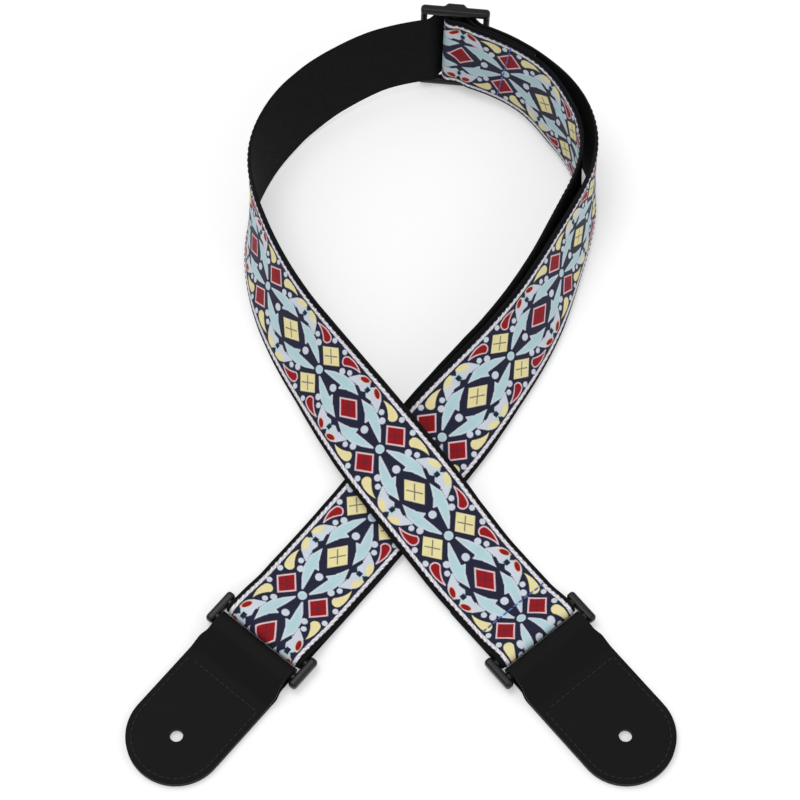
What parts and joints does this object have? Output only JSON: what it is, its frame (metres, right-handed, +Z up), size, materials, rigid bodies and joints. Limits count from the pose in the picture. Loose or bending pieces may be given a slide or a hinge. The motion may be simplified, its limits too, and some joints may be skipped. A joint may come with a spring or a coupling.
{
  "type": "guitar strap",
  "caption": "Adjustable woven strap with a patterned ribbon, a slider, rings and leather end tabs with strap-pin holes, lying in a crossed loop.",
  "frame": {"origin": "under the middle of the whole strap's box, at floor level", "axes": "+Z up from the floor the strap lies on, +Y from the leather end tabs towards the loop's far side where the slider stands, +X to the right seen from the tabs"},
  "size_m": [0.2856, 0.4318, 0.062],
  "materials": {
    "webbing": "matte woven black",
    "jacquard": "satin jacquard weave: navy ground with lavender, aqua, yellow and red motifs",
    "blue_thread": "satin thread",
    "black_thread": "satin thread",
    "leather": "smooth satin black",
    "hardware": "satin moulded plastic"
  },
  "bodies": {
    "strap": {"webbing": "webbing", "jacquard_ribbon": "jacquard", "right_fold_stitching": "blue_thread", "slider_fold_stitching": "blue_thread"},
    "slider": {"triglide_slider": "hardware"},
    "right_ring": {"right_ring": "hardware"},
    "left_ring": {"left_ring": "hardware"},
    "right_tab": {"right_tab_leather": "leather", "right_tab_perimeter_stitching": "black_thread", "right_tab_cross_stitching": "black_thread"},
    "left_tab": {"left_tab_leather": "leather", "left_tab_perimeter_stitching": "black_thread", "left_tab_cross_stitching": "black_thread"}
  },
  "joints": [
    {"name": "right_ring_turn", "type": "hinge", "parent": "strap", "child": "right_ring", "pos_m": [0.0698, -0.13396, 0.005], "axis": [-0.766, -0.6428, 0], "range_deg": [-80, 80]},
    {"name": "right_tab_turn", "type": "hinge", "parent": "right_ring", "child": "right_tab", "pos_m": [0.0762, -0.14158, 0.005], "axis": [-0.766, -0.6428, 0], "range_deg": [-70, 70]},
    {"name": "left_ring_turn", "type": "hinge", "parent": "strap", "child": "left_ring", "pos_m": [-0.0698, -0.13396, 0.005], "axis": [-0.766, 0.6428, 0], "range_deg": [-80, 80]},
    {"name": "left_tab_turn", "type": "hinge", "parent": "left_ring", "child": "left_tab", "pos_m": [-0.0762, -0.14158, 0.005], "axis": [-0.766, 0.6428, 0], "range_deg": [-70, 70]},
    {"name": "slider_rock", "type": "hinge", "parent": "strap", "child": "slider", "pos_m": [0.0295, 0.20423, 0.03148], "axis": [-0.0215, -0.1896, -0.9816], "range_deg": [-4, 4]}
  ]
}
